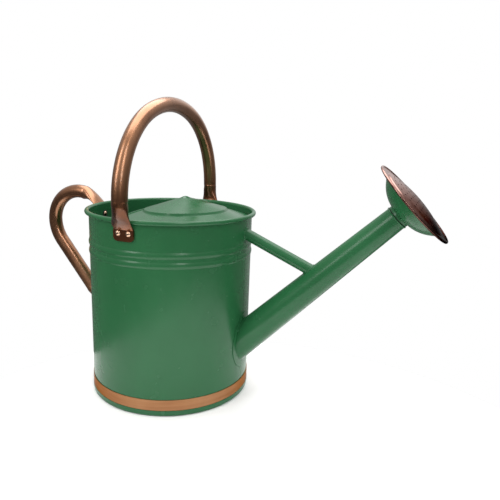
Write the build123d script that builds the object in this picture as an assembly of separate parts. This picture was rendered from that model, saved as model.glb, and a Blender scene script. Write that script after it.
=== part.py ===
from build123d import *
import math
import os

# Sheet-metal watering can. Millimetres. The origin is the centre of the base, on the surface
# that the can stands on. +Z is up and +X points along the spout, so the can is symmetric in Y.

# ---- drum -------------------------------------------------------------------------------
TOP_RADIUS = 100.0  # outside of the wall just under the rim
BOTTOM_RADIUS = 99.3
CAN_HEIGHT = 229.7  # to the top of the rim bead
SHEET = 0.65
RIM_WIRE_RADIUS = 2.0
RIM_BORE_RADIUS = 2.05
RIM_BEAD_RADIUS = RIM_BORE_RADIUS + SHEET
RIM_Z = CAN_HEIGHT - RIM_BEAD_RADIUS
RIM_CENTRE_RADIUS = TOP_RADIUS + RIM_BORE_RADIUS
RIB_CENTRES_Z = [179.9, 190.9]
RIB_HALF_HEIGHT = 3.7
RIB_PROUD = 1.0

# ---- base -------------------------------------------------------------------------------
SEAM_HEIGHT = 7.5
SEAM_RADIUS = 100.2
SEAM_SHEET = 0.6
SEAM_CORNER = 3.0
FOOT_RING_WIDTH = 3.1
BASE_DISC_Z = 4.0
BASE_SLOPE = 2.0
WALL_FOOT_Z = 3.3
BAND_LOW_Z = 7.8
BAND_HIGH_Z = 20.8
BAND_SHEET = 0.6

# ---- fixed half cover -------------------------------------------------------------------
HUMP_X = 18.8
HUMP_HEIGHT = 15.0  # from its foot to its apex
HUMP_RADIUS = 50.5
HUMP_FOOT_Z = 231.0
HUMP_TILT = 2.0  # degrees that its foot rises towards the spout
NIPPLE_RADIUS = 4.0
NIPPLE_FLARE = 10.0
NIPPLE_HEIGHT = 3.0
COVER_STEP = 2.5
COVER_STEP_WIDTH = 1.7
COVER_WALL_Z = 219.6  # height of the cover where it meets the wall
COVER_EDGE_X = -34.0
COVER_SHEET = 0.8
COVER_HEM = 9.0  # depth of the hem folded down along the straight edge
COVER_SKIRT_Z = 211.0
COVER_NOTCH_RADIUS = 5.2  # arches in the skirt that clear the inner rivet heads
COVER_RADIUS = 99.15

# ---- handles ----------------------------------------------------------------------------
TUBE_WALL = 1.2
BAIL_RADIUS = 8.7
BAIL_HALF_SPAN = 114.1
BAIL_SPRING_Z = 250.0
BAIL_SIDE_RADIUS = 101.6
BAIL_CROWN_RADIUS = 135.0
BAIL_FOOT_RADIUS = 44.0
BAIL_LEAN = 2.85  # degrees round the can that each foot leans clockwise, seen from above
REAR_RADIUS = 8.6
REAR_BEND_RADIUS = 40.6
REAR_BEND_U = 138.5  # distance of the top bend's centre from the can's axis
REAR_BEND_Z = 200.6
REAR_BEND_START = 102.0  # degrees round the bend at which the round tube starts to be squashed
REAR_KNEE_RADIUS = 46.0
REAR_LEG_TURN = 38.5  # degrees that the lower leg leans back towards the can
REAR_LEG_END_U = 122.0  # where the straight round leg ends
TAB_INNER_RADIUS = 100.02
TAB_THICKNESS = 2.2
TAB_CORNER = 5.0
TOP_TAB_LOW_Z = 204.9
TOP_TAB_HIGH_Z = 221.0
LOW_TAB_LOW_Z = 66.0
LOW_TAB_HIGH_Z = 83.5
BAIL_TAB_WIDTH = 26.4
REAR_TAB_WIDTH = 25.0

# ---- rivets -----------------------------------------------------------------------------
RIVET_SHANK = 1.6
RIVET_HOLE = 1.7
DRILL_LENGTH = 20.0
RIVET_HEAD_RADIUS = 3.2
RIVET_HEAD_HEIGHT = 1.9
RIVET_TAIL_RADIUS = 2.9
RIVET_TAIL_HEIGHT = 1.5
WASHER_RADIUS = 4.5
WASHER_THICKNESS = 0.8
BAIL_RIVET_SPREAD = 13.0
BAIL_RIVET_Z = 213.7
REAR_TOP_RIVET_Z = 214.5
REAR_LOW_RIVET_Z = 74.5

# ---- spout ------------------------------------------------------------------------------
SPOUT_ANGLE = 44.4  # degrees above the horizontal
SPOUT_Z = 73.3  # height at which its axis leaves the wall's top radius
SPOUT_ROOT_RADIUS = 19.4
SPOUT_TIP_RADIUS = 13.3
SPOUT_LENGTH = 240.0
SPOUT_BACK = 60.0  # how far the cutting cone runs back into the can
SPOUT_WALL = 0.8
SOCKET_DEPTH = 20.0
SOCKET_RADIUS = 12.0
LIP_RADIUS = 0.9
FLANGE_WIDTH = 6.0
FLANGE_SHEET = 0.8
BRACE_RADIUS = 6.8
BRACE_WALL = 0.8
BRACE_Z = 206.2  # height of its axis at the wall
BRACE_SLOPE = 23.4  # degrees below the horizontal
BRACE_START = 14.0  # how far inside the wall its tube is cut from
BRACE_REACH = 95.0
FIT_GAP = 0.05
OVERLAP = 0.2  # how far joined primitives run into each other

# ---- rose -------------------------------------------------------------------------------
ROSE_WASHER = 0.7
SPIGOT_LENGTH = 17.0
SPIGOT_WALL = 0.75
COLLAR_RADIUS = 13.5
COLLAR_LENGTH = 2.3
NECK_RADIUS = 12.25
NECK_LENGTH = 5.0
BOWL_SHEET = 0.7
BOWL_CURVE = 40.0
BOWL_CURVE_START = 13.0
BOWL_CURVE_TILT = 6.7  # degrees between the bowl at its neck and the neck's plane
BOWL_CURVE_TURN = 36.6
BOWL_RIM_RADIUS = 43.5
BOWL_FLANGE_RADIUS = 48.5
FACE_PLANE = 262.0  # along the spout's axis
FACE_RADIUS = 53.2
FACE_SHEET = 0.8
FACE_STEP_RADIUS = 42.0
FACE_STEP = 1.0
FACE_DOME = 6.6  # height of the perforated middle over the brim
FACE_LIP_RADIUS = 1.4
HOLE_RADIUS = 1.1
HOLE_RINGS = 5
HOLE_PITCH = 7.2


def wall_radius(z):
    """Outside radius of the slightly tapered drum at height z."""
    return BOTTOM_RADIUS + (TOP_RADIUS - BOTTOM_RADIUS) * z / RIM_Z


def drum(offset):
    """Solid frustum of the drum's outside, grown by offset."""
    return Pos(0, 0, RIM_Z / 2) * Cone(BOTTOM_RADIUS + offset, TOP_RADIUS + offset, RIM_Z)


def tube_between(outer, inner, low, high):
    """Upright ring, or disc where inner is 0, from height low to height high."""
    ring = Cylinder(outer, high - low)
    if inner > 0:
        ring -= Cylinder(inner, high - low)
    return Pos(0, 0, (low + high) / 2) * ring


def turned(edges):
    """Solid of revolution about Z from a closed outline in the XZ plane."""
    return revolve(make_face(Wire(edges)), Axis.Z, 360)


def at(radius, z):
    return Vector(radius, 0, z)


def on_circle(centre, radius, degrees):
    angle = math.radians(degrees)
    return centre + Vector(radius * math.cos(angle), 0, radius * math.sin(angle))


def across(point):
    """The same point on the other side of the can's axis."""
    return at(-point.X, point.Z)


def chain(points):
    return [Line(a, b) for a, b in zip(points[:-1], points[1:])]


# ---- placing round the can and along the spout --------------------------------------------
SPOUT_DIRECTION = Vector(
    math.cos(math.radians(SPOUT_ANGLE)), 0, math.sin(math.radians(SPOUT_ANGLE))
)
SPOUT_ROOT = Vector(TOP_RADIUS, 0, SPOUT_Z)
SPOUT_FRAME = Plane(origin=SPOUT_ROOT, x_dir=(0, 1, 0), z_dir=SPOUT_DIRECTION)
LEFT = 90.0
RIGHT = -90.0
REAR = 180.0


def spout_radius(distance):
    share = distance / SPOUT_LENGTH
    return SPOUT_ROOT_RADIUS + (SPOUT_TIP_RADIUS - SPOUT_ROOT_RADIUS) * share


def spout_cone(offset, start, end):
    """Solid cone of the spout's outside, grown by offset, between two distances on its axis."""
    cone = Cone(spout_radius(start) + offset, spout_radius(end) + offset, end - start)
    return SPOUT_FRAME * Pos(0, 0, (start + end) / 2) * cone


def spout_bore():
    """Everything inside the spout, from within the can to the tip."""
    taper = spout_cone(-SPOUT_WALL, -SPOUT_BACK, SPOUT_LENGTH - SOCKET_DEPTH)
    socket_start = SPOUT_LENGTH - SOCKET_DEPTH
    socket_length = 2 * SOCKET_DEPTH
    socket = Cylinder(SOCKET_RADIUS, socket_length)
    return taper + SPOUT_FRAME * Pos(0, 0, socket_start + socket_length / 2) * socket


def rivet_places(azimuth, z, spread):
    """Azimuths and height of the rivets of one tab: a pair, or one where spread is 0."""
    if spread == 0:
        return [(azimuth, z)]
    half = math.degrees(math.asin(spread / 2 / TOP_RADIUS))
    return [(azimuth - half, z), (azimuth + half, z)]


RIVET_GROUPS = {
    "bail_left": rivet_places(LEFT - BAIL_LEAN, BAIL_RIVET_Z, BAIL_RIVET_SPREAD),
    "bail_right": rivet_places(RIGHT - BAIL_LEAN, BAIL_RIVET_Z, BAIL_RIVET_SPREAD),
    "rear_top": rivet_places(REAR, REAR_TOP_RIVET_Z, 0),
    "rear_bottom": rivet_places(REAR, REAR_LOW_RIVET_Z, 0),
}


def outward(azimuth, z):
    """Frame on the can's axis at height z whose Z axis points outwards at the azimuth."""
    return Location((0, 0, z)) * Rotation(0, 0, azimuth) * Rotation(0, 90, 0)


def rivet_hole(azimuth, z):
    """Drill through the wall and whatever lies on it."""
    return outward(azimuth, z) * Pos(0, 0, TOP_RADIUS) * Cylinder(RIVET_HOLE, DRILL_LENGTH)


# ---- drum pieces ------------------------------------------------------------------------
def rib_path(offset, low_z, high_z):
    """Wall line from low_z to high_z with its swaged ribs, shifted inwards by offset."""
    edges = []
    start = at(wall_radius(low_z) - offset, low_z)
    for z in RIB_CENTRES_Z:
        low = at(wall_radius(z - RIB_HALF_HEIGHT) - offset, z - RIB_HALF_HEIGHT)
        crest = at(wall_radius(z) + RIB_PROUD - offset, z)
        high = at(wall_radius(z + RIB_HALF_HEIGHT) - offset, z + RIB_HALF_HEIGHT)
        edges.append(Line(start, low))
        edges.append(ThreePointArc(low, crest, high))
        start = high
    edges.append(Line(start, at(wall_radius(high_z) - offset, high_z)))
    return edges


def body_wall():
    """Rolled drum with two ribs; its top edge curls outwards and down round the rim wire."""
    centre = at(RIM_CENTRE_RADIUS, RIM_Z)
    curl_end = -115.0
    curl_middle = (180.0 + curl_end) / 2
    bore_end = on_circle(centre, RIM_BORE_RADIUS, curl_end)
    bead_end = on_circle(centre, RIM_BEAD_RADIUS, curl_end)
    outside = rib_path(0, WALL_FOOT_Z, RIM_Z)
    inside = rib_path(SHEET, WALL_FOOT_Z, RIM_Z)
    top_outside = at(TOP_RADIUS, RIM_Z)
    top_inside = at(TOP_RADIUS - SHEET, RIM_Z)
    curl = [
        ThreePointArc(top_outside, on_circle(centre, RIM_BORE_RADIUS, curl_middle), bore_end),
        Line(bore_end, bead_end),
        ThreePointArc(bead_end, on_circle(centre, RIM_BEAD_RADIUS, curl_middle), top_inside),
    ]
    foot_radius = wall_radius(WALL_FOOT_Z)
    foot = Line(at(foot_radius - SHEET, WALL_FOOT_Z), at(foot_radius, WALL_FOOT_Z))
    wall = turned(outside + curl + inside + [foot])
    wall -= spout_cone(-SPOUT_WALL, -SPOUT_BACK, SPOUT_LENGTH)
    for places in RIVET_GROUPS.values():
        for azimuth, z in places:
            wall -= rivet_hole(azimuth, z)
    return wall


def rim_wire():
    return Pos(0, 0, RIM_Z) * Torus(RIM_CENTRE_RADIUS, RIM_WIRE_RADIUS)


def base_plate():
    """Pressed bottom: a disc, a ring to stand on, and a skirt folded up outside the wall."""
    corner = at(SEAM_RADIUS - SEAM_CORNER, SEAM_CORNER)
    inner_corner = SEAM_CORNER - SEAM_SHEET
    ring_inner = SEAM_RADIUS - SEAM_CORNER - FOOT_RING_WIDTH
    disc_top = BASE_DISC_Z + SEAM_SHEET
    skirt_inner = SEAM_RADIUS - SEAM_SHEET
    outline = chain([
        at(SEAM_RADIUS - SEAM_CORNER, 0),
        at(ring_inner, 0),
        at(ring_inner - BASE_SLOPE, BASE_DISC_Z),
        at(0, BASE_DISC_Z),
        at(0, disc_top),
        at(ring_inner - BASE_SLOPE + SEAM_SHEET, disc_top),
        at(ring_inner + SEAM_SHEET, SEAM_SHEET),
        at(SEAM_RADIUS - SEAM_CORNER, SEAM_SHEET),
    ])
    outline.append(ThreePointArc(
        at(SEAM_RADIUS - SEAM_CORNER, SEAM_SHEET),
        on_circle(corner, inner_corner, -45),
        at(skirt_inner, SEAM_CORNER),
    ))
    outline += chain([
        at(skirt_inner, SEAM_CORNER),
        at(skirt_inner, SEAM_HEIGHT),
        at(SEAM_RADIUS, SEAM_HEIGHT),
        at(SEAM_RADIUS, SEAM_CORNER),
    ])
    outline.append(ThreePointArc(
        at(SEAM_RADIUS, SEAM_CORNER),
        on_circle(corner, SEAM_CORNER, -45),
        at(SEAM_RADIUS - SEAM_CORNER, 0),
    ))
    return turned(outline)


def base_band():
    inner = wall_radius(BAND_HIGH_Z) + FIT_GAP
    return tube_between(inner + BAND_SHEET, inner, BAND_LOW_Z, BAND_HIGH_Z)


# ---- half cover -------------------------------------------------------------------------
def hump():
    """Pointed cone with a small nipple and a step round its foot, standing on Z = 0."""
    cone_slope = (HUMP_HEIGHT - NIPPLE_HEIGHT) / (HUMP_RADIUS - NIPPLE_FLARE)
    flare = at(NIPPLE_FLARE, cone_slope * (HUMP_RADIUS - NIPPLE_FLARE))
    apex = at(0, HUMP_HEIGHT)
    cap_edge = at(NIPPLE_RADIUS, HUMP_HEIGHT - 1.0)
    cap_middle = at(NIPPLE_RADIUS * 0.55, HUMP_HEIGHT - 0.28)
    flare_middle = at((NIPPLE_RADIUS + NIPPLE_FLARE) / 2, flare.Z + 0.75)
    shoulder = at(HUMP_RADIUS + COVER_STEP_WIDTH, -COVER_STEP)
    depth = 2 * COVER_STEP
    outline = [
        ThreePointArc(apex, cap_middle, cap_edge),
        ThreePointArc(cap_edge, flare_middle, flare),
    ]
    outline += chain([flare, at(HUMP_RADIUS, 0), shoulder, at(shoulder.X, -depth), at(0, -depth), apex])
    return turned(outline)


def cover_mass(drop):
    """Everything below the cover's upper surface, lowered by drop, as one block."""
    foot = Location((HUMP_X, 0, HUMP_FOOT_Z)) * Rotation(0, -HUMP_TILT, 0)
    shoulder = foot * Pos(0, 0, -COVER_STEP) * Circle(HUMP_RADIUS + COVER_STEP_WIDTH)
    wall = Pos(0, 0, COVER_WALL_Z) * Circle(TOP_RADIUS)
    slope = loft([wall, shoulder], ruled=True)
    plinth = tube_between(TOP_RADIUS, 0, COVER_SKIRT_Z - COVER_HEM, COVER_WALL_Z)
    return Pos(0, 0, -drop) * (plinth + slope + foot * hump())


def top_cover():
    """Fixed cover over the spout side: pointed hump, ring step, skirt on the wall, folded hem."""
    tall = 60.0
    middle_z = COVER_SKIRT_Z + tall / 2
    kept = Pos(COVER_EDGE_X + TOP_RADIUS, 0, middle_z) * Box(2 * TOP_RADIUS, 3 * TOP_RADIUS, tall)
    bore = Pos(0, 0, middle_z) * Cylinder(COVER_RADIUS, tall)
    mass = cover_mass(0) & bore & kept
    sheet = mass - cover_mass(COVER_SHEET)
    skirt = mass & tube_between(COVER_RADIUS, COVER_RADIUS - COVER_SHEET, COVER_SKIRT_Z, CAN_HEIGHT)
    for azimuth, z in RIVET_GROUPS["bail_left"] + RIVET_GROUPS["bail_right"]:
        notch = Cylinder(COVER_NOTCH_RADIUS, DRILL_LENGTH)
        skirt -= outward(azimuth, z) * Pos(0, 0, TOP_RADIUS) * notch
    hem_slab = Pos(COVER_EDGE_X + COVER_SHEET / 2, 0, middle_z) * Box(COVER_SHEET, 3 * TOP_RADIUS, tall)
    hem = (mass & hem_slab) - cover_mass(COVER_HEM)
    return sheet + skirt + hem


# ---- handles ----------------------------------------------------------------------------
def section(centre, direction, width, depth):
    """Ellipse across a handle's line: width along Y, depth in the handle's own plane."""
    plane = Plane(origin=centre, x_dir=(0, 1, 0), z_dir=direction)
    return plane * Ellipse(width / 2, depth / 2)


def squashed_end(stations, shrink):
    """Loft through (centre, direction, width, depth, lean) stations, each side less by shrink."""
    faces = []
    for centre, direction, width, depth, lean in stations:
        inner_width = width - 2 * shrink
        inner_depth = max(depth - 2 * shrink, 0.5)
        face = section(centre, direction, inner_width, inner_depth)
        faces.append(Rotation(0, 0, -lean) * face)
    return loft(faces)


def tab(width, low_z, high_z, corner):
    """Flat end of a handle, curved to the wall on the +X side."""
    outer = TAB_INNER_RADIUS + TAB_THICKNESS
    shell = tube_between(outer, TAB_INNER_RADIUS, low_z - corner, high_z + corner)
    plane = Plane(origin=(0, 0, (low_z + high_z) / 2), x_dir=(0, 1, 0), z_dir=(1, 0, 0))
    window = extrude(plane * RectangleRounded(width, high_z - low_z, corner), 2 * outer)
    return shell & window


def foot_stations(points, turns, sizes, full_lean):
    """Stations of one foot; its lean round the can grows smoothly from none to full_lean."""
    stations = []
    for number, (point, degrees, (width, depth)) in enumerate(zip(points, turns, sizes)):
        direction = Vector(math.cos(math.radians(degrees)), 0, math.sin(math.radians(degrees)))
        share = number / (len(points) - 1)
        lean = full_lean * share**2 * (3 - 2 * share)
        stations.append((point, direction, width, depth, lean))
    return stations


def bail_foot():
    """Squashed end of the bail, from the round tube down past the rim to its tab."""
    centre = at(BAIL_HALF_SPAN - BAIL_FOOT_RADIUS, BAIL_SPRING_Z)
    turned_by = [0, 9, 17, 24, 30, 35]
    widths = [2 * BAIL_RADIUS, 18.0, 19.2, 21.2, 23.4, 24.8]
    depths = [2 * BAIL_RADIUS, 16.0, 12.6, 8.6, 5.0, 3.3]
    points = [on_circle(centre, BAIL_FOOT_RADIUS, -angle) for angle in turned_by]
    points += [at(103.0, 220.4), at(100.95, 215.5)]
    turns = [-90 - angle for angle in turned_by] + [-108, -90]
    sizes = list(zip(widths, depths)) + [(25.2, 2.4), (20.0, 1.0)]
    return foot_stations(points, turns, sizes, BAIL_LEAN)


def rear_top_foot():
    """Squashed upper end of the rear handle, curving down past the rim to its tab."""
    centre = at(REAR_BEND_U, REAR_BEND_Z)
    rises = [180 - REAR_BEND_START, 68, 58, 49, 42, 36]
    widths = [2 * REAR_RADIUS, 18.8, 21.2, 22.8, 23.6, 23.8]
    depths = [2 * REAR_RADIUS, 14.4, 9.6, 5.6, 3.5, 2.8]
    points = [on_circle(centre, REAR_BEND_RADIUS, 180 - angle) for angle in rises]
    points += [at(103.0, 220.6), at(101.3, 215.5)]
    turns = [270 - angle for angle in rises] + [252, 270]
    sizes = list(zip(widths, depths)) + [(23.6, 2.4), (19.0, 1.0)]
    return foot_stations(points, turns, sizes, 0)


def rear_leg_start():
    """Point where the rear handle's knee ends and its straight lower leg starts."""
    knee_centre = at(REAR_BEND_U + REAR_BEND_RADIUS - REAR_KNEE_RADIUS, REAR_BEND_Z)
    return on_circle(knee_centre, REAR_KNEE_RADIUS, -REAR_LEG_TURN)


def rear_leg_point(u):
    """Point of the lower leg's centre line at distance u from the can's axis."""
    start = rear_leg_start()
    drop = (start.X - u) / math.tan(math.radians(REAR_LEG_TURN))
    return at(u, start.Z - drop)


def rear_low_foot():
    """Squashed lower end of the rear handle, from the straight leg down to its tab."""
    along = -90 - REAR_LEG_TURN
    reaches = [REAR_LEG_END_U, 117.0, 112.0, 108.2]
    points = [rear_leg_point(u) for u in reaches]
    points += [at(105.1, 91.2), at(102.8, 86.6), at(100.95, 79.5)]
    turns = [along, along, along, along, along + 5, along + 18, -90]
    sizes = [(2 * REAR_RADIUS, 2 * REAR_RADIUS), (18.8, 14.2), (21.0, 9.4), (22.6, 6.2)]
    sizes += [(23.4, 4.0), (23.6, 2.8), (19.0, 1.0)]
    return foot_stations(points, turns, sizes, 0)


def bend_to_tube(path, outer, inner):
    """Sweep of a round tube's outside and of its bore along a path."""
    plane = Plane(origin=path @ 0, x_dir=(0, 1, 0), z_dir=path % 0)
    return sweep(plane * Circle(outer), path), sweep(plane * Circle(inner), path)


def bail_handle():
    """Hoop of tube in the plane X = 0, with a crown arc between two side arcs."""
    side_centre = at(BAIL_HALF_SPAN - BAIL_SIDE_RADIUS, BAIL_SPRING_Z)
    gap = BAIL_CROWN_RADIUS - BAIL_SIDE_RADIUS
    crown_z = BAIL_SPRING_Z - math.sqrt(gap**2 - side_centre.X**2)
    apex = at(0, crown_z + BAIL_CROWN_RADIUS)
    join_angle = math.degrees(math.acos(side_centre.X / gap))
    join = on_circle(side_centre, BAIL_SIDE_RADIUS, join_angle)
    start = at(BAIL_HALF_SPAN, BAIL_SPRING_Z)
    side_middle = on_circle(side_centre, BAIL_SIDE_RADIUS, join_angle / 2)
    path = Wire([
        ThreePointArc(start, side_middle, join),
        ThreePointArc(join, apex, across(join)),
        ThreePointArc(across(join), across(side_middle), across(start)),
    ])
    outside, bore = bend_to_tube(path, BAIL_RADIUS, BAIL_RADIUS - TUBE_WALL)
    stations = bail_foot()
    foot = squashed_end(stations, 0)
    leaning_tab = tab(BAIL_TAB_WIDTH, TOP_TAB_LOW_Z, TOP_TAB_HIGH_Z, TAB_CORNER)
    foot += Rotation(0, 0, -BAIL_LEAN) * leaning_tab
    for azimuth, z in rivet_places(-BAIL_LEAN, BAIL_RIVET_Z, BAIL_RIVET_SPREAD):
        foot -= rivet_hole(azimuth, z)
    foot_bore = squashed_end(stations[:4], TUBE_WALL)
    half_turn = Rotation(0, 0, 180)
    hoop = outside + [foot, half_turn * foot]
    hoop -= bore + [foot_bore, half_turn * foot_bore]
    return Rotation(0, 0, 90) * hoop


def rear_handle():
    """Tube in the plane Y = 0: top bend, knee and straight lower leg."""
    bend_centre = at(REAR_BEND_U, REAR_BEND_Z)
    knee_centre = at(REAR_BEND_U + REAR_BEND_RADIUS - REAR_KNEE_RADIUS, REAR_BEND_Z)
    start = on_circle(bend_centre, REAR_BEND_RADIUS, REAR_BEND_START)
    back = on_circle(bend_centre, REAR_BEND_RADIUS, 0)
    over = on_circle(bend_centre, REAR_BEND_RADIUS, REAR_BEND_START / 2)
    knee_middle = on_circle(knee_centre, REAR_KNEE_RADIUS, -REAR_LEG_TURN / 2)
    leg_start = rear_leg_start()
    leg_end = rear_leg_point(REAR_LEG_END_U)
    path = Wire([
        ThreePointArc(start, over, back),
        ThreePointArc(back, knee_middle, leg_start),
        Line(leg_start, leg_end),
    ])
    outside, bore = bend_to_tube(path, REAR_RADIUS, REAR_RADIUS - TUBE_WALL)
    top_stations = rear_top_foot()
    low_stations = rear_low_foot()
    outside += squashed_end(top_stations, 0)
    outside += squashed_end(low_stations, 0)
    bore += squashed_end(top_stations[:4], TUBE_WALL)
    bore += squashed_end(low_stations[:4], TUBE_WALL)
    top_tab = tab(REAR_TAB_WIDTH, TOP_TAB_LOW_Z, TOP_TAB_HIGH_Z, TAB_CORNER)
    low_tab = tab(REAR_TAB_WIDTH, LOW_TAB_LOW_Z, LOW_TAB_HIGH_Z, TAB_CORNER)
    handle = outside + top_tab + low_tab - bore
    handle -= drum(FIT_GAP)
    for z in (REAR_TOP_RIVET_Z, REAR_LOW_RIVET_Z):
        handle -= rivet_hole(0, z)
    return Rotation(0, 0, REAR) * handle


# ---- rivets and washers -----------------------------------------------------------------
HEAD_SEAT = TAB_INNER_RADIUS + TAB_THICKNESS + FIT_GAP


def washer_seat(z):
    """Distance from the can's axis to a washer's outer face, just clear of the wall's inside."""
    wall_inside = wall_radius(z) - SHEET
    return math.sqrt(wall_inside**2 - WASHER_RADIUS**2) - 0.02


def dome(radius, height):
    """Cap of a ball with its flat face on Z = 0."""
    ball_radius = (radius**2 + height**2) / (2 * height)
    ball = Pos(0, 0, height - ball_radius) * Sphere(ball_radius)
    return ball & Pos(0, 0, radius) * Box(4 * radius, 4 * radius, 2 * radius)


def rivet(z):
    """Rivet along +Z from the can's axis: domed head outside, shank, flatter tail inside."""
    tail_seat = washer_seat(z) - WASHER_THICKNESS - FIT_GAP
    shank_length = HEAD_SEAT - tail_seat + 2 * OVERLAP
    shank = Cylinder(RIVET_SHANK, shank_length)
    head = dome(RIVET_HEAD_RADIUS, RIVET_HEAD_HEIGHT)
    tail = Rotation(180, 0, 0) * dome(RIVET_TAIL_RADIUS, RIVET_TAIL_HEIGHT)
    middle = Pos(0, 0, (HEAD_SEAT + tail_seat) / 2)
    return middle * shank + Pos(0, 0, HEAD_SEAT) * head + Pos(0, 0, tail_seat) * tail


def washer(z):
    seat = washer_seat(z)
    return tube_between(WASHER_RADIUS, RIVET_HOLE, seat - WASHER_THICKNESS, seat)


def group(maker, places):
    """The same piece at each of a tab's rivet places, as separate solids of one node."""
    pieces = []
    for azimuth, z in places:
        pieces.append(outward(azimuth, z) * maker(z))
    return Compound(children=pieces)


# ---- spout pieces -----------------------------------------------------------------------
def spout_tube():
    """Conical tube, cut to the drum's side, with a rolled lip and a straight socket at its tip."""
    tube = spout_cone(0, -SPOUT_BACK, SPOUT_LENGTH)
    lip_place = SPOUT_FRAME * Pos(0, 0, SPOUT_LENGTH - LIP_RADIUS)
    tube += lip_place * Torus(SPOUT_TIP_RADIUS, LIP_RADIUS)
    tube -= spout_bore()
    tube -= drum(FIT_GAP)
    return tube


def spout_root_flange():
    """Thin saddle on the drum round the spout's foot."""
    skin = drum(FIT_GAP + FLANGE_SHEET) - drum(FIT_GAP)
    patch = skin & spout_cone(FLANGE_WIDTH, -SPOUT_BACK, SPOUT_LENGTH / 2)
    return patch - spout_cone(FIT_GAP, -SPOUT_BACK, SPOUT_LENGTH)


def spout_brace():
    """Round stay from the drum down to the spout, cut to both."""
    slope = math.radians(BRACE_SLOPE)
    direction = Vector(math.cos(slope), 0, -math.sin(slope))
    start = Vector(TOP_RADIUS, 0, BRACE_Z) - direction * BRACE_START
    plane = Plane(origin=start, x_dir=(0, 1, 0), z_dir=direction)
    ring = Circle(BRACE_RADIUS) - Circle(BRACE_RADIUS - BRACE_WALL)
    stay = extrude(plane * ring, BRACE_START + BRACE_REACH)
    stay -= drum(FIT_GAP)
    return stay - spout_cone(FIT_GAP, 0, SPOUT_LENGTH)


# ---- rose -------------------------------------------------------------------------------
COLLAR_START = SPOUT_LENGTH + ROSE_WASHER + 2 * FIT_GAP
BOWL_START = COLLAR_START + COLLAR_LENGTH + FIT_GAP
SPIGOT_RADIUS = SOCKET_RADIUS - FIT_GAP


def rose_spigot():
    """Tube that pushes into the spout, with the collar that stops it against the washer."""
    inner = SPIGOT_RADIUS - SPIGOT_WALL
    collar_end = COLLAR_START + COLLAR_LENGTH
    outline = chain([
        at(inner, SPOUT_LENGTH - SPIGOT_LENGTH),
        at(SPIGOT_RADIUS, SPOUT_LENGTH - SPIGOT_LENGTH),
        at(SPIGOT_RADIUS, COLLAR_START),
        at(COLLAR_RADIUS, COLLAR_START),
        at(COLLAR_RADIUS, collar_end),
        at(NECK_RADIUS, collar_end),
        at(NECK_RADIUS, collar_end + NECK_LENGTH),
        at(inner, collar_end + NECK_LENGTH),
        at(inner, SPOUT_LENGTH - SPIGOT_LENGTH),
    ])
    return SPOUT_FRAME * turned(outline)


def rose_washer():
    low = SPOUT_LENGTH + FIT_GAP
    inner = SPIGOT_RADIUS + 0.15
    return SPOUT_FRAME * tube_between(COLLAR_RADIUS - 0.5, inner, low, low + ROSE_WASHER)


def rose_bowl():
    """Spun bowl: curving out from the neck to a short cone, with a flange for the face."""
    tilt = math.radians(BOWL_CURVE_TILT)
    start = at(BOWL_CURVE_START, BOWL_START)
    centre = start + at(-BOWL_CURVE * math.sin(tilt), BOWL_CURVE * math.cos(tilt))
    start_angle = -90 + BOWL_CURVE_TILT
    end_angle = start_angle + BOWL_CURVE_TURN
    middle = (start_angle + end_angle) / 2
    inner_curve = BOWL_CURVE - BOWL_SHEET
    inner_start = on_circle(centre, inner_curve, start_angle)
    neck = NECK_RADIUS + FIT_GAP
    flange_top = FACE_PLANE - FIT_GAP
    flange_low = flange_top - BOWL_SHEET
    outer_end = on_circle(centre, BOWL_CURVE, end_angle)
    inner_end = on_circle(centre, inner_curve, end_angle)
    outline = [
        Line(at(neck, BOWL_START), start),
        ThreePointArc(start, on_circle(centre, BOWL_CURVE, middle), outer_end),
    ]
    outline += chain([
        outer_end,
        at(BOWL_RIM_RADIUS, flange_low),
        at(BOWL_FLANGE_RADIUS, flange_low),
        at(BOWL_FLANGE_RADIUS, flange_top),
        at(BOWL_RIM_RADIUS - BOWL_SHEET, flange_top),
        inner_end,
    ])
    outline.append(ThreePointArc(inner_end, on_circle(centre, inner_curve, middle), inner_start))
    outline += chain([inner_start, at(neck, BOWL_START + BOWL_SHEET), at(neck, BOWL_START)])
    return SPOUT_FRAME * turned(outline)


def rose_face():
    """Perforated disc: flat brim with a rolled edge, a low step and a slightly domed middle."""
    back = FACE_PLANE
    front = FACE_PLANE + FACE_SHEET
    step_outer = FACE_STEP_RADIUS + FACE_STEP
    dome_share = 0.72
    dome_radius = FACE_STEP_RADIUS * 0.7
    outline = chain([
        at(FACE_RADIUS - FACE_LIP_RADIUS, back),
        at(step_outer, back),
        at(FACE_STEP_RADIUS, back + FACE_STEP),
    ])
    outline.append(ThreePointArc(
        at(FACE_STEP_RADIUS, back + FACE_STEP),
        at(dome_radius, back + FACE_STEP + (FACE_DOME - FACE_STEP) * (1 - dome_share**2)),
        at(0, back + FACE_DOME),
    ))
    outline.append(Line(at(0, back + FACE_DOME), at(0, front + FACE_DOME)))
    outline.append(ThreePointArc(
        at(0, front + FACE_DOME),
        at(dome_radius, front + FACE_STEP + (FACE_DOME - FACE_STEP) * (1 - dome_share**2)),
        at(FACE_STEP_RADIUS, front + FACE_STEP),
    ))
    outline += chain([
        at(FACE_STEP_RADIUS, front + FACE_STEP),
        at(step_outer, front),
        at(FACE_RADIUS - FACE_LIP_RADIUS, front),
        at(FACE_RADIUS - FACE_LIP_RADIUS, back),
    ])
    face = turned(outline)
    face += Pos(0, 0, back + FACE_SHEET / 2) * Torus(FACE_RADIUS - FACE_LIP_RADIUS, FACE_LIP_RADIUS)
    drill = Cylinder(HOLE_RADIUS, DRILL_LENGTH)
    holes = [Pos(0, 0, front) * drill]
    for ring in range(1, HOLE_RINGS + 1):
        count = 6 * ring
        for step in range(count):
            place = Rotation(0, 0, 360 * step / count) * Pos(ring * HOLE_PITCH, 0, front)
            holes.append(place * drill)
    return SPOUT_FRAME * (face - holes)


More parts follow.
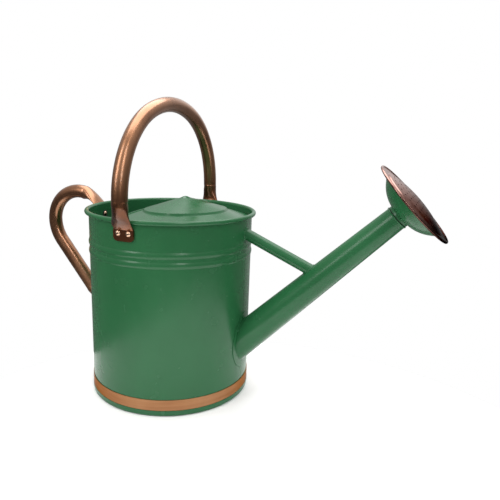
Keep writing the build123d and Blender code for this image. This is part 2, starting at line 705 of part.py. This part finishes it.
PARTS = {
    "body_wall": body_wall,
    "rim_wire": rim_wire,
    "base_plate": base_plate,
    "base_band": base_band,
    "top_cover": top_cover,
    "bail_handle": bail_handle,
    "rear_handle": rear_handle,
    "spout_tube": spout_tube,
    "spout_root_flange": spout_root_flange,
    "spout_brace": spout_brace,
    "rose_spigot": rose_spigot,
    "rose_washer": rose_washer,
    "rose_bowl": rose_bowl,
    "rose_face": rose_face,
}

os.makedirs("parts", exist_ok=True)
for name, make in PARTS.items():
    export_step(make(), f"parts/{name}.step")
for name, places in RIVET_GROUPS.items():
    handle, foot = name.split("_")
    export_step(group(rivet, places), f"parts/{handle}_rivets_{foot}.step")
    export_step(group(washer, places), f"parts/{handle}_washers_{foot}.step")
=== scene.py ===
import math

import bmesh
import bpy
from mathutils import Matrix, Vector
from mathutils.bvhtree import BVHTree


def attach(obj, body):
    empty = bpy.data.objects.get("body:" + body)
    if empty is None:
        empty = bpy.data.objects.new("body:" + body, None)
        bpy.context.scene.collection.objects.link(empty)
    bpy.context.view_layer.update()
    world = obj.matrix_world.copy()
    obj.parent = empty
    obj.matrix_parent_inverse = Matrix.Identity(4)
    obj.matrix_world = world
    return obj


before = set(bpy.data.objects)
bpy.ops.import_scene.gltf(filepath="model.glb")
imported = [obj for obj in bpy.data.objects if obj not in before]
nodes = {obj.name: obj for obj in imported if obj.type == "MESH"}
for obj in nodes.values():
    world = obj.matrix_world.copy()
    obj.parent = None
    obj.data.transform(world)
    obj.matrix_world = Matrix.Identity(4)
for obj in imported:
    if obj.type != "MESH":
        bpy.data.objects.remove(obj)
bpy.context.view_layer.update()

# ---- studio ---------------------------------------------------------------------------------
FLOOR_CENTRE = (0.16, -0.13)  # off to one side, so that only the low part of the drum reflects the floor
FLOOR_RADII = (0.36, 0.30)
CAMERA_PLACE = Vector((0.3067, -0.5720, 0.3229))
CAMERA_FORWARD = Vector((-0.3245, 0.9203, -0.2184))
CAMERA_ROLL = 0.0353
CAMERA_LENS = 37.27
# The room that only shows in gloss: grey levels from straight down (0) to straight up (1), and from the
# front at -Y (0) to the bright backdrop at +Y (1).
ROOM_BY_HEIGHT = [(0.50, 0.17), (0.54, 0.28), (0.60, 0.36), (0.72, 0.66), (0.95, 0.85)]
ROOM_BY_DEPTH = [(0.25, 0.26), (0.75, 0.38), (0.93, 0.50), (0.985, 1.0)]
ROOM_STRENGTH = 2.5
SOFTBOX_DISTANCE = 1.6
SOFTBOX_AIM = Vector((0, 0, 0.15))
SOFTBOXES = {  # azimuth and elevation in degrees, width and height in metres, power in watts
    "overhead": (100, 76, 1.8, 1.8, 32),
    "left_box": (-118, 34, 0.44, 1.1, 7.5),
    "right_box": (-49, 34, 0.22, 1.0, 5),
}


def add_camera():
    data = bpy.data.cameras.new("camera")
    data.lens = CAMERA_LENS
    data.clip_start = 0.01
    camera = bpy.data.objects.new("camera", data)
    bpy.context.scene.collection.objects.link(camera)
    back = -CAMERA_FORWARD.normalized()
    right = Vector((0, 0, 1)).cross(back).normalized()
    up = back.cross(right)
    axes = Matrix((right, up, back)).transposed().to_4x4()
    roll = Matrix.Rotation(CAMERA_ROLL, 4, "Z")
    camera.matrix_world = Matrix.Translation(CAMERA_PLACE) @ axes @ roll
    bpy.context.scene.camera = camera


def add_softbox(name, azimuth, elevation, width, height, power):
    """Area light aimed at the can; the azimuth turns round +Z from +X."""
    turn = math.radians(azimuth)
    rise = math.radians(elevation)
    level = math.cos(rise)
    direction = Vector((math.cos(turn) * level, math.sin(turn) * level, math.sin(rise)))
    data = bpy.data.lights.new(name, "AREA")
    data.shape = "RECTANGLE"
    data.size = width
    data.size_y = height
    data.energy = power
    light = bpy.data.objects.new(name, data)
    bpy.context.scene.collection.objects.link(light)
    light.visible_camera = False
    light.location = SOFTBOX_AIM + direction * SOFTBOX_DISTANCE
    light.rotation_euler = direction.to_track_quat("Z", "Y").to_euler()


def room_ramp(tree, part, levels):
    """Grey levels along one part of a direction, whose -1..1 is mapped to 0..1."""
    share = tree.nodes.new("ShaderNodeMapRange")
    share.inputs["From Min"].default_value = -1.0
    tree.links.new(part, share.inputs["Value"])
    greys = [(place, (level, level, level)) for place, level in levels]
    return ramp(tree, share.outputs["Result"], greys)


def add_world():
    """Even white light from all round; glossy rays see a dimmer, uneven room in its place."""
    world = bpy.data.worlds.new("studio")
    world.use_nodes = True
    tree = world.node_tree
    tree.nodes.clear()
    bright = tree.nodes.new("ShaderNodeBackground")
    bright.inputs["Color"].default_value = (1.0, 1.0, 1.0, 1)
    bright.inputs["Strength"].default_value = 1.0
    dim = tree.nodes.new("ShaderNodeBackground")
    dim.inputs["Strength"].default_value = ROOM_STRENGTH
    direction = tree.nodes.new("ShaderNodeTexCoord")
    parts = tree.nodes.new("ShaderNodeSeparateXYZ")
    tree.links.new(direction.outputs["Generated"], parts.inputs[0])
    by_rise = room_ramp(tree, parts.outputs["Z"], ROOM_BY_HEIGHT)
    by_depth = room_ramp(tree, parts.outputs["Y"], ROOM_BY_DEPTH)
    room = blend_colours(tree, 1.0, by_rise, by_depth, "MULTIPLY")
    tree.links.new(room, dim.inputs["Color"])
    path = tree.nodes.new("ShaderNodeLightPath")
    mix = tree.nodes.new("ShaderNodeMixShader")
    out = tree.nodes.new("ShaderNodeOutputWorld")
    tree.links.new(path.outputs["Is Glossy Ray"], mix.inputs[0])
    tree.links.new(bright.outputs[0], mix.inputs[1])
    tree.links.new(dim.outputs[0], mix.inputs[2])
    tree.links.new(mix.outputs[0], out.inputs["Surface"])
    bpy.context.scene.world = world


# ---- materials ------------------------------------------------------------------------------
NOISE_LOW = 0.3  # most of a noise's values lie between these two
NOISE_HIGH = 0.7
HEIGHT_SPAN = 0.5  # metres over the ground that by_height covers


def new_material(name, **sockets):
    """Principled material; a socket's name is written with _ for its spaces."""
    material = bpy.data.materials.new(name)
    material.use_nodes = True
    shader = material.node_tree.nodes["Principled BSDF"]
    for socket, value in sockets.items():
        shader.inputs[socket.replace("_", " ")].default_value = value
    return material, material.node_tree, shader


def noise(tree, scale, detail=3.0, stretch=(1, 1, 1), distortion=0.0):
    """Noise in the object's own metres; stretch gives each axis its own frequency."""
    place = tree.nodes.new("ShaderNodeTexCoord")
    mapping = tree.nodes.new("ShaderNodeMapping")
    mapping.inputs["Scale"].default_value = stretch
    texture = tree.nodes.new("ShaderNodeTexNoise")
    texture.inputs["Scale"].default_value = scale
    texture.inputs["Detail"].default_value = detail
    texture.inputs["Distortion"].default_value = distortion
    tree.links.new(place.outputs["Object"], mapping.inputs["Vector"])
    tree.links.new(mapping.outputs["Vector"], texture.inputs["Vector"])
    return texture.outputs["Fac"]


def ramp(tree, value, stops):
    """Colour ramp over the value; a stop is a place from 0 to 1 and its colour."""
    node = tree.nodes.new("ShaderNodeValToRGB")
    elements = node.color_ramp.elements
    while len(elements) < len(stops):
        elements.new(0.5)
    for element, (position, colour) in zip(elements, stops):
        element.position = position
        element.color = (*colour, 1)
    tree.links.new(value, node.inputs["Fac"])
    return node.outputs["Color"]


def spread(tree, value, low, high):
    """A noise's range mapped to low..high."""
    node = tree.nodes.new("ShaderNodeMapRange")
    node.inputs["From Min"].default_value = NOISE_LOW
    node.inputs["From Max"].default_value = NOISE_HIGH
    node.inputs["To Min"].default_value = low
    node.inputs["To Max"].default_value = high
    tree.links.new(value, node.inputs["Value"])
    return node.outputs["Result"]


def by_height(tree, stops):
    """Colour by height over the ground at rest; the stops' heights are in metres."""
    place = tree.nodes.new("ShaderNodeTexCoord")
    parts = tree.nodes.new("ShaderNodeSeparateXYZ")
    share = tree.nodes.new("ShaderNodeMapRange")
    share.inputs["From Max"].default_value = HEIGHT_SPAN
    tree.links.new(place.outputs["Object"], parts.inputs[0])
    tree.links.new(parts.outputs["Z"], share.inputs["Value"])
    places = [(height / HEIGHT_SPAN, colour) for height, colour in stops]
    return ramp(tree, share.outputs["Result"], places)


def blend_colours(tree, factor, first, second, mode="MIX"):
    node = tree.nodes.new("ShaderNodeMix")
    node.data_type = "RGBA"
    node.blend_type = mode
    if isinstance(factor, float):
        node.inputs["Factor"].default_value = factor
    else:
        tree.links.new(factor, node.inputs["Factor"])
    tree.links.new(first, node.inputs["A"])
    tree.links.new(second, node.inputs["B"])
    return node.outputs["Result"]


def bump(tree, shader, layers):
    """Stack of (height output, distance in metres, strength) bumps on the shader's normal."""
    normal = None
    for height, distance, strength in layers:
        node = tree.nodes.new("ShaderNodeBump")
        node.inputs["Distance"].default_value = distance
        node.inputs["Strength"].default_value = strength
        tree.links.new(height, node.inputs["Height"])
        if normal is not None:
            tree.links.new(normal, node.inputs["Normal"])
        normal = node.outputs["Normal"]
    tree.links.new(normal, shader.inputs["Normal"])


def enamel(name, light, dark, roughness=(0.20, 0.28)):
    """Glossy stoved paint: faint cloudiness, uneven gloss and slow waves in the sheet."""
    material, tree, shader = new_material(name, Specular_IOR_Level=0.35)
    clouds = noise(tree, 14, 4, (1, 1, 0.5))
    paint = ramp(tree, clouds, [(0.34, dark), (0.66, light)])
    tree.links.new(paint, shader.inputs["Base Color"])
    grain = noise(tree, 60, 2)
    tree.links.new(spread(tree, grain, *roughness), shader.inputs["Roughness"])
    waves = noise(tree, 16, 1, (1, 1, 0.35))
    bump(tree, shader, [(waves, 0.0010, 0.4)])
    return material


def copper(name, stops, roughness, streaks, scale=60, coat=0.4, shade=None, painted_reflection=None,
           tint=(1, 1, 1, 1)):
    """Plated copper finish: drawn streaks and clouds; shade and the reflection ramp colour it by height,
    as painted light.

    The shade is painted shade and reflection that darkens the metal; the reflection ramp is a painted
    reflection that colours its glancing reflections.
    """
    material, tree, shader = new_material(
        name, Metallic=1.0, Coat_Weight=coat, Coat_Roughness=0.1, Specular_Tint=tint
    )
    drawn = noise(tree, scale, 2, streaks, 0.3)
    clouds = noise(tree, 18, 4)
    mixed = blend_colours(tree, clouds, ramp(tree, drawn, stops), ramp(tree, clouds, stops))
    # Painted shade and reflection: the metal's colour is darkened by height.
    if shade:
        mixed = blend_colours(tree, 1.0, mixed, by_height(tree, shade), "MULTIPLY")
    # Painted reflection: the tint of the glancing reflections is set by height.
    if painted_reflection:
        tree.links.new(by_height(tree, painted_reflection), shader.inputs["Specular Tint"])
    tree.links.new(mixed, shader.inputs["Base Color"])
    tree.links.new(spread(tree, drawn, *roughness), shader.inputs["Roughness"])
    bump(tree, shader, [(drawn, 0.00006, 0.2)])
    return material


def steel(name):
    material, tree, shader = new_material(name, Metallic=1.0)
    wear = noise(tree, 180, 4)
    stops = [(0.3, (0.20, 0.20, 0.20)), (0.7, (0.42, 0.42, 0.41))]
    tree.links.new(ramp(tree, wear, stops), shader.inputs["Base Color"])
    tree.links.new(spread(tree, wear, 0.3, 0.5), shader.inputs["Roughness"])
    bump(tree, shader, [(wear, 0.0001, 0.4)])
    return material


def rubber(name):
    material, tree, shader = new_material(name, Specular_IOR_Level=0.3)
    grain = noise(tree, 600, 4)
    stops = [(0.3, (0.012, 0.012, 0.012)), (0.7, (0.035, 0.034, 0.032))]
    tree.links.new(ramp(tree, grain, stops), shader.inputs["Base Color"])
    tree.links.new(spread(tree, grain, 0.6, 0.8), shader.inputs["Roughness"])
    bump(tree, shader, [(grain, 0.0001, 0.5)])
    return material


def pale_floor(name):
    material, tree, shader = new_material(name, Specular_IOR_Level=0.3)
    grain = noise(tree, 3, 3)
    stops = [(0.3, (0.86, 0.86, 0.855)), (0.7, (0.90, 0.90, 0.895))]
    tree.links.new(ramp(tree, grain, stops), shader.inputs["Base Color"])
    tree.links.new(spread(tree, grain, 0.55, 0.65), shader.inputs["Roughness"])
    return material


GREEN_LIGHT = (0.018, 0.104, 0.038)
GREEN_DARK = (0.014, 0.088, 0.031)
green = enamel("green_enamel", GREEN_LIGHT, GREEN_DARK)
HANDLE_STOPS = [
    (0.25, (0.24, 0.105, 0.055)),
    (0.55, (0.37, 0.175, 0.090)),
    (0.8, (0.47, 0.245, 0.135)),
]
BAND_STOPS = [
    (0.25, (0.26, 0.105, 0.045)),
    (0.55, (0.38, 0.18, 0.083)),
    (0.85, (0.49, 0.26, 0.135)),
]
FACE_STOPS = [
    (0.25, (0.15, 0.080, 0.062)),
    (0.55, (0.36, 0.20, 0.165)),
    (0.8, (0.60, 0.42, 0.37)),
]
RIVET_STOPS = [
    (0.25, (0.60, 0.38, 0.24)),
    (0.6, (0.78, 0.52, 0.36)),
    (0.85, (0.88, 0.66, 0.48)),
]
# Shading by height in metres. It stands in for what the metal reflects there and isn't wear, so on
# the rose it turns with the rose.
HOOP_SHADE = [
    (0.205, (0.85, 0.64, 0.52)),
    (0.219, (0.72, 0.55, 0.46)),
    (0.226, (0.36, 0.26, 0.21)),
    (0.240, (0.38, 0.29, 0.24)),
    (0.268, (1.0, 1.0, 1.0)),
]
FACE_SHADE = [
    (0.235, (0.22, 0.20, 0.20)),
    (0.262, (0.62, 0.56, 0.56)),
    (0.285, (1.0, 1.0, 1.0)),
]
# Painted reflection on the rose face: the tint of its glancing reflections, dark low down and near white
# high up.
FACE_PAINTED_REFLECTION = [
    (0.235, (0.14, 0.13, 0.13)),
    (0.262, (0.52, 0.47, 0.46)),
    (0.285, (1.0, 0.96, 0.96)),
]
HANDLE_ROUGHNESS = (0.24, 0.36)
TUBE_STREAKS = (1, 1, 0.25)  # drawn along the tubes, which mostly stand upright
BAND_STREAKS = (0.15, 0.15, 6)  # rolled round the drum
NO_STREAKS = (1, 1, 1)

hoop_copper = copper("hoop_copper", HANDLE_STOPS, HANDLE_ROUGHNESS, TUBE_STREAKS,
                     scale=45, coat=0.5, shade=HOOP_SHADE)
rear_copper = copper("rear_copper", HANDLE_STOPS, HANDLE_ROUGHNESS, TUBE_STREAKS,
                     scale=45, coat=0.5)
band_copper = copper("band_copper", BAND_STOPS, (0.28, 0.40), BAND_STREAKS,
                     coat=0.1, tint=(0.50, 0.32, 0.24, 1))
face_copper = copper("face_copper", FACE_STOPS, (0.15, 0.30), NO_STREAKS,
                     scale=120, coat=0.0, shade=FACE_SHADE, painted_reflection=FACE_PAINTED_REFLECTION)
rivet_copper = copper("rivet_copper", RIVET_STOPS, (0.18, 0.28), NO_STREAKS, scale=300)
wire_steel = steel("wire_steel")
washer_rubber = rubber("washer_rubber")

FINISHES = {
    green: ["body_wall", "base_plate", "top_cover", "spout_tube", "spout_root_flange", "spout_brace",
            "rose_spigot", "rose_bowl"],
    hoop_copper: ["bail_handle"],
    rear_copper: ["rear_handle"],
    band_copper: ["base_band"],
    face_copper: ["rose_face"],
    rivet_copper: [name for name in nodes if "_rivets_" in name],
    washer_rubber: ["rose_washer"] + [name for name in nodes if "_washers_" in name],
    wire_steel: ["rim_wire"],
}


def dress(node, material):
    node.data.materials.clear()
    node.data.materials.append(material)


# ---- building -------------------------------------------------------------------------------
FLOOR_SIDES = 128
BEAD_RADIUS = 0.0011
BEAD_SIDES = 10
BRACE_RADIUS = 0.0068  # the stay's own radius
BRACE_MIDDLE_X = 0.135  # between the stay's two ends
BRACE_BEAD_STEPS = 72
HEM_X = -0.0335  # just inside the cover's straight edge
HEM_HALF_LENGTH = 0.0915
HEM_STEPS = 60
ABOVE_COVER_Z = 0.3


def add_floor():
    """Oval pale table top, most of it in front of the can."""
    mesh = bpy.data.meshes.new("floor")
    shape = bmesh.new()
    bmesh.ops.create_circle(shape, cap_ends=True, segments=FLOOR_SIDES, radius=1.0)
    bmesh.ops.scale(shape, vec=(*FLOOR_RADII, 1), verts=shape.verts)
    bmesh.ops.translate(shape, vec=(*FLOOR_CENTRE, 0), verts=shape.verts)
    shape.to_mesh(mesh)
    shape.free()
    floor = bpy.data.objects.new("floor", mesh)
    bpy.context.scene.collection.objects.link(floor)
    floor.data.materials.append(pale_floor("pale_floor"))


def add_bead(name, path, closed):
    """Round bead of solder or rolled sheet, painted over, along a path of points on the can."""
    count = len(path)
    shape = bmesh.new()
    rings = []
    for number, point in enumerate(path):
        before = path[(number - 1) % count] if closed or number > 0 else point
        after = path[(number + 1) % count] if closed or number < count - 1 else point
        along = (after - before).normalized()
        across = along.cross(Vector((0, 0, 1))).normalized()
        up = across.cross(along)
        ring = []
        for side in range(BEAD_SIDES):
            turn = 2 * math.pi * side / BEAD_SIDES
            spoke = math.cos(turn) * across + math.sin(turn) * up
            ring.append(shape.verts.new(point + BEAD_RADIUS * spoke))
        rings.append(ring)
    joints = zip(rings, rings[1:] + rings[:1]) if closed else zip(rings, rings[1:])
    for first, second in joints:
        for side in range(BEAD_SIDES):
            near = (side + 1) % BEAD_SIDES
            shape.faces.new((first[side], first[near], second[near], second[side]))
    if not closed:
        shape.faces.new(reversed(rings[0]))
        shape.faces.new(rings[-1])
    bmesh.ops.recalc_face_normals(shape, faces=shape.faces)
    mesh = bpy.data.meshes.new(name)
    shape.to_mesh(mesh)
    shape.free()
    for polygon in mesh.polygons:
        polygon.use_smooth = True
    bead = bpy.data.objects.new(name, mesh)
    bpy.context.scene.collection.objects.link(bead)
    bead.data.materials.append(green)
    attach(bead, "can")


def corners_of(name):
    """A CAD node's vertices in the frame's own coordinates."""
    node = nodes[name]
    return [node.matrix_world @ vertex.co for vertex in node.data.vertices]


def surface_of(name):
    """A CAD node's faces, for finding where a ray meets them."""
    faces = [tuple(polygon.vertices) for polygon in nodes[name].data.polygons]
    return BVHTree.FromPolygons(corners_of(name), faces)


def joint_line(name, start, direction):
    """Where the stay, going from start along direction, meets the node called name."""
    target = surface_of(name)
    sideways = Vector((0, 1, 0))
    across = direction.cross(sideways).normalized()
    path = []
    for step in range(BRACE_BEAD_STEPS):
        turn = 2 * math.pi * step / BRACE_BEAD_STEPS
        spoke = math.cos(turn) * across + math.sin(turn) * sideways
        hit = target.ray_cast(start + BRACE_RADIUS * spoke, direction)[0]
        if hit is not None:
            path.append(hit)
    return path


def add_brace_beads():
    """Solder round both ends of the stay between drum and spout."""
    corners = corners_of("spout_brace")
    high = [corner for corner in corners if corner.x < BRACE_MIDDLE_X]
    low = [corner for corner in corners if corner.x > BRACE_MIDDLE_X]
    start = sum(high, Vector()) / len(high)
    end = sum(low, Vector()) / len(low)
    middle = (start + end) / 2
    direction = (end - start).normalized()
    add_bead("brace_bead_wall", joint_line("body_wall", middle, -direction), closed=True)
    add_bead("brace_bead_spout", joint_line("spout_tube", middle, direction), closed=True)


def add_hem_bead():
    """Rolled edge along the straight side of the cover."""
    cover = surface_of("top_cover")
    path = []
    for step in range(HEM_STEPS + 1):
        y = HEM_HALF_LENGTH * (2 * step / HEM_STEPS - 1)
        hit = cover.ray_cast(Vector((HEM_X, y, ABOVE_COVER_Z)), Vector((0, 0, -1)))[0]
        if hit is not None:
            path.append(hit)
    add_bead("cover_hem_bead", path, closed=False)


add_camera()
add_world()
add_floor()
for name, settings in SOFTBOXES.items():
    add_softbox(name, *settings)
for material, names in FINISHES.items():
    for name in names:
        dress(nodes[name], material)
bpy.context.scene.view_settings.view_transform = "Standard"

add_brace_beads()
add_hem_bead()
